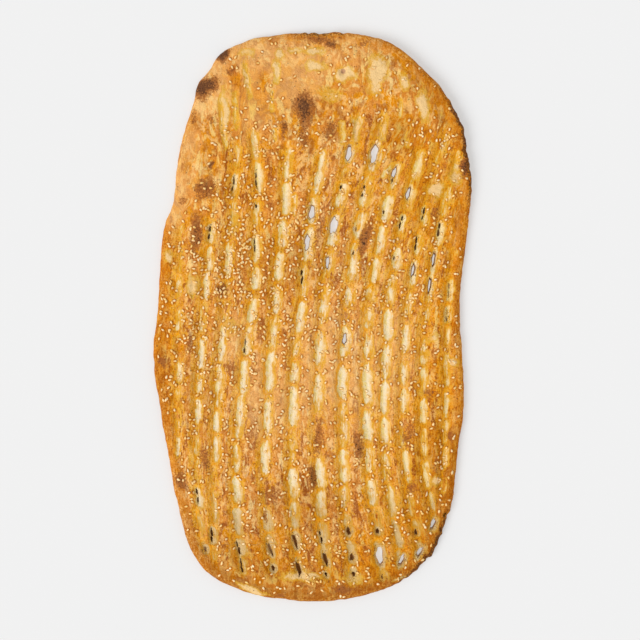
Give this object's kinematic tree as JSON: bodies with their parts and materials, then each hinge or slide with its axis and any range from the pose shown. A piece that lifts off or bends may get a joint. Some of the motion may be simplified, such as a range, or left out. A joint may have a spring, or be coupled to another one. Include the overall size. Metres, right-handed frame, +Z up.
{
  "type": "barbari bread",
  "caption": "Long flat leavened loaf, rounded oval outline, lengthwise furrows docked in dashes that tear through in places, sesame on the crust.",
  "frame": {"origin": "middle of the flat underside, on the surface the loaf lies on", "axes": "+X across the loaf, +Y along it towards the end that is pressed least, +Z up"},
  "size_m": [0.2808, 0.5, 0.015],
  "materials": {
    "crust": "baked crust, satin glaze in the furrows, matt and browned on the ridges",
    "sesame": "toasted sesame seed, satin"
  },
  "bodies": {
    "root": {"bread": "crust"}
  },
  "joints": []
}
